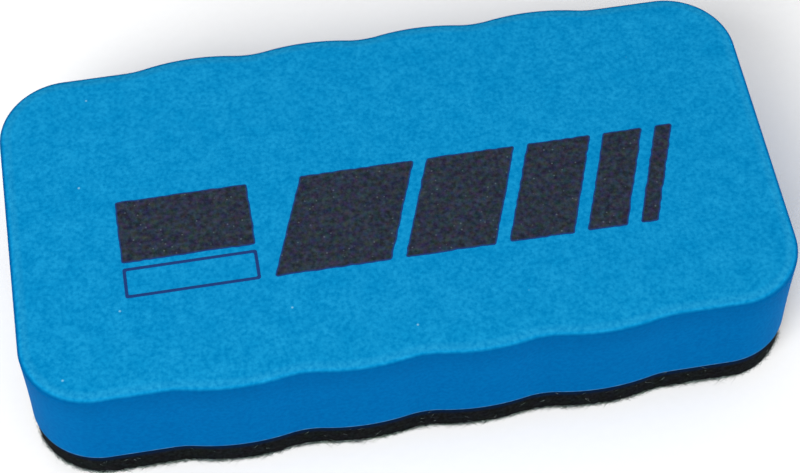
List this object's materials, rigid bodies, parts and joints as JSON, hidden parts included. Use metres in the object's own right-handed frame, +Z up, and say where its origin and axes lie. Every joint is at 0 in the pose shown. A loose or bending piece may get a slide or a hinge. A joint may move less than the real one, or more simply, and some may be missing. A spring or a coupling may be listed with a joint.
{
  "type": "magnetic board eraser",
  "caption": "Hand-held magnetic dry-wipe board eraser: foam block with finger lobes along both long sides, a felt wiping pad beneath and disc magnets inside.",
  "frame": {"origin": "centre of the wiping face, the felt's underside", "axes": "+X along the length, +Y across it, +Z up from the wiping face through the foam"},
  "size_m": [0.11, 0.057, 0.0206],
  "materials": {
    "black_felt": "matt black needle-punched felt, frayed along the cut edge",
    "contact_adhesive": "thin amber rubber film",
    "blue_foam": "matt closed-cell foam with a fine speckle of cut cells",
    "printing_ink": "matt charcoal ink, slightly broken up by the cells under it",
    "ferrite": "dull dark grey sintered disc",
    "hot_melt": "cloudy off-white glue"
  },
  "bodies": {
    "root": {"felt_pad": "black_felt", "felt_adhesive": "contact_adhesive", "foam_body": "blue_foam", "printed_mark": "printing_ink", "magnet_left": "ferrite", "magnet_right": "ferrite", "magnet_glue_left": "hot_melt", "magnet_glue_right": "hot_melt"}
  },
  "joints": []
}
